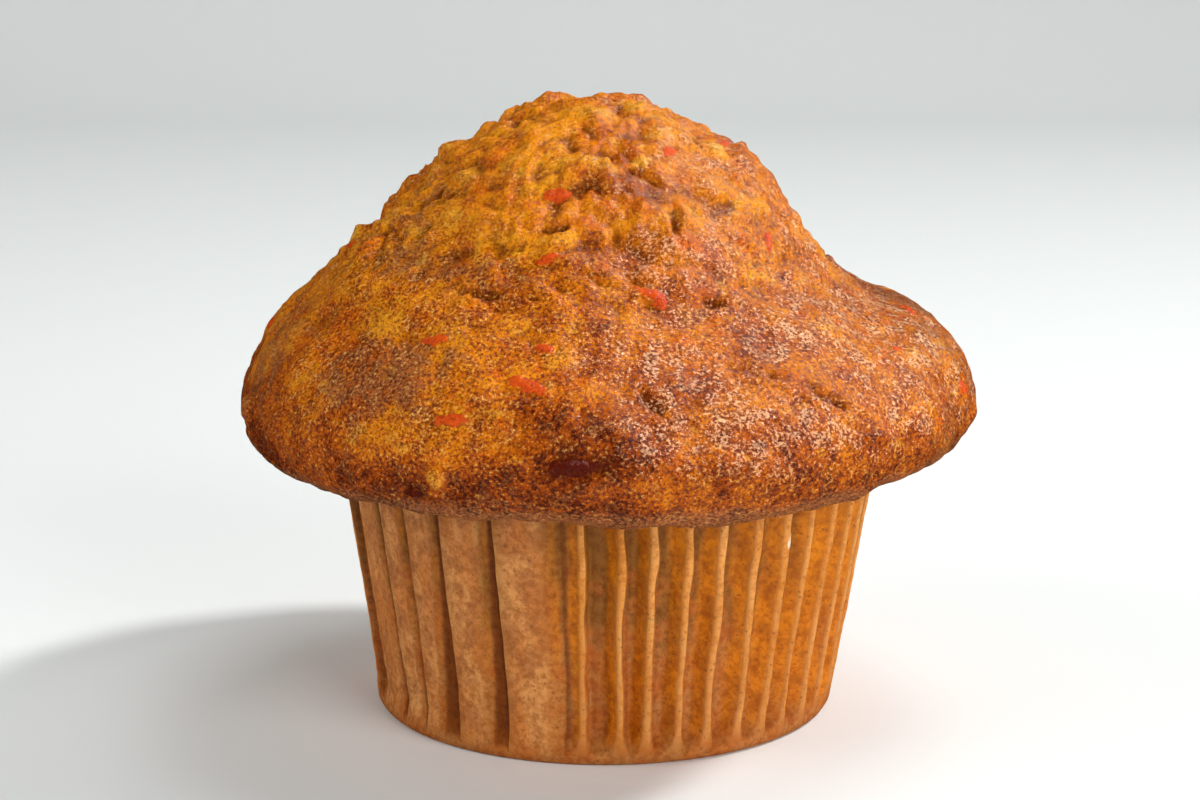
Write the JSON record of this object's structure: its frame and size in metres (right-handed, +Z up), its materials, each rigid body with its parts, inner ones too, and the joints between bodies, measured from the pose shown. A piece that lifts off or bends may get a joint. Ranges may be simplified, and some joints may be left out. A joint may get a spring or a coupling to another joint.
{
  "type": "muffin",
  "caption": "Carrot muffin with a tall, rough, peaked crown that overhangs its pleated paper baking case, standing on the case's flat base.",
  "frame": {"origin": "the middle of the underside of the paper case's floor, on the table", "axes": "+Z up through the peak of the crown; +X towards the crown's shouldered side, so its evenly sloping side is at -X; -Y is the front"},
  "size_m": [0.0805, 0.0804, 0.067],
  "materials": {
    "crust": "satin",
    "case_paper": "satin"
  },
  "bodies": {
    "root": {"muffin": "crust", "paper_case": "case_paper"}
  },
  "joints": []
}
